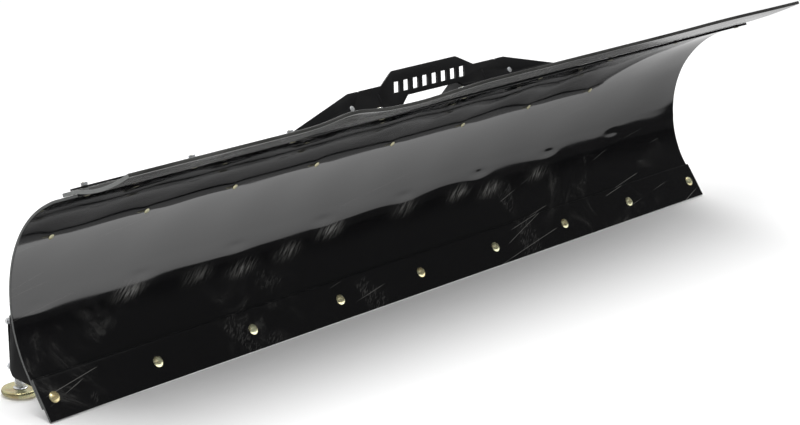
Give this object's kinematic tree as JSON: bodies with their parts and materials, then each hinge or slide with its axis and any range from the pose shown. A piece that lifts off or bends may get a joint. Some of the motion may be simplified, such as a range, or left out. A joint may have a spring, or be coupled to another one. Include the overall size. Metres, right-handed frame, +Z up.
{
  "type": "atv plow blade",
  "caption": "Straight curved snow plough blade with a bolted wear bar, rubber flap along the lip, leaning top plate, rear ribs and height-adjustable skid shoes.",
  "frame": {"origin": "on the ground, midway between the blade's ends and midway from the flap's free edge to the rear of the skid discs", "axes": "+X along the blade to its right end as the driver sees it from behind, +Y back towards the vehicle, +Z up"},
  "size_m": [1.8352, 0.3966, 0.4679],
  "materials": {
    "gloss_skin": "gloss black sheet with scuffs and fine scratches",
    "worn_paint": "gloss black paint on a steel bar, scuffed",
    "frame_paint": "black powder coat, satin",
    "rubber": "matte dark grey rubber sheet, dusty, paler cut edges",
    "yellow_zinc": "yellow iridescent zinc plate",
    "silver_zinc": "clear zinc plate"
  },
  "bodies": {
    "frame": {"mouldboard": "gloss_skin", "wear_bar": "worn_paint", "flap_grip": "rubber", "flap_clamp_bar": "frame_paint", "lower_rail": "frame_paint", "middle_rail": "frame_paint", "top_plate": "frame_paint", "outer_rib_left": "frame_paint", "middle_rib_left": "frame_paint", "centre_rib_left": "frame_paint", "pivot_bush_left": "frame_paint", "skid_tube_left": "frame_paint", "top_plate_bolt_left": "silver_zinc", "outer_rib_right": "frame_paint", "middle_rib_right": "frame_paint", "centre_rib_right": "frame_paint", "pivot_bush_right": "frame_paint", "skid_tube_right": "frame_paint", "top_plate_bolt_right": "silver_zinc", "wear_bolt_1": "yellow_zinc", "flap_bolt_1": "yellow_zinc", "wear_bolt_2": "yellow_zinc", "flap_bolt_2": "yellow_zinc", "wear_bolt_3": "yellow_zinc", "flap_bolt_3": "yellow_zinc", "wear_bolt_4": "yellow_zinc", "flap_bolt_4": "yellow_zinc", "wear_bolt_5": "yellow_zinc", "flap_bolt_5": "yellow_zinc", "wear_bolt_6": "yellow_zinc", "flap_bolt_6": "yellow_zinc", "wear_bolt_7": "yellow_zinc", "flap_bolt_7": "yellow_zinc", "wear_bolt_8": "yellow_zinc", "flap_bolt_8": "yellow_zinc", "wear_bolt_9": "yellow_zinc", "flap_bolt_9": "yellow_zinc", "skin_bolt_1": "yellow_zinc", "skin_bolt_2": "yellow_zinc", "skin_bolt_3": "yellow_zinc", "skin_bolt_4": "yellow_zinc", "skin_bolt_5": "yellow_zinc", "skin_bolt_6": "yellow_zinc", "skin_bolt_7": "yellow_zinc", "skin_bolt_8": "yellow_zinc"},
    "flap": {"flap_free": "rubber"},
    "skid_left": {"skid_post_left": "silver_zinc", "skid_disc_left": "yellow_zinc"},
    "screw_left_lower": {"set_screw_left_lower": "silver_zinc"},
    "screw_left_upper": {"set_screw_left_upper": "silver_zinc"},
    "skid_right": {"skid_post_right": "silver_zinc", "skid_disc_right": "yellow_zinc"},
    "screw_right_lower": {"set_screw_right_lower": "silver_zinc"},
    "screw_right_upper": {"set_screw_right_upper": "silver_zinc"}
  },
  "joints": [
    {"name": "flap_bend", "type": "hinge", "parent": "frame", "child": "flap", "pos_m": [0, -0.07174, 0.40648], "axis": [-1, 0, 0], "range_deg": [-15, 40], "stiffness_Nm_per_rad": 12, "springref_deg": 5.16},
    {"name": "skid_left_height", "type": "slide", "parent": "frame", "child": "skid_left", "axis": [0, 0, 1], "range_m": [-0.04, 0.018]},
    {"name": "screw_left_lower_turn", "type": "hinge", "parent": "frame", "child": "screw_left_lower", "pos_m": [-0.86402, 0.1818, 0.04394], "axis": [0, 1, 0], "range_deg": [0, 450]},
    {"name": "screw_left_upper_turn", "type": "hinge", "parent": "frame", "child": "screw_left_upper", "pos_m": [-0.86402, 0.1818, 0.12394], "axis": [0, 1, 0], "range_deg": [0, 450]},
    {"name": "skid_right_height", "type": "slide", "parent": "frame", "child": "skid_right", "axis": [0, 0, 1], "range_m": [-0.04, 0.018]},
    {"name": "screw_right_lower_turn", "type": "hinge", "parent": "frame", "child": "screw_right_lower", "pos_m": [0.86402, 0.1818, 0.04394], "axis": [0, 1, 0], "range_deg": [0, 450]},
    {"name": "screw_right_upper_turn", "type": "hinge", "parent": "frame", "child": "screw_right_upper", "pos_m": [0.86402, 0.1818, 0.12394], "axis": [0, 1, 0], "range_deg": [0, 450]}
  ]
}
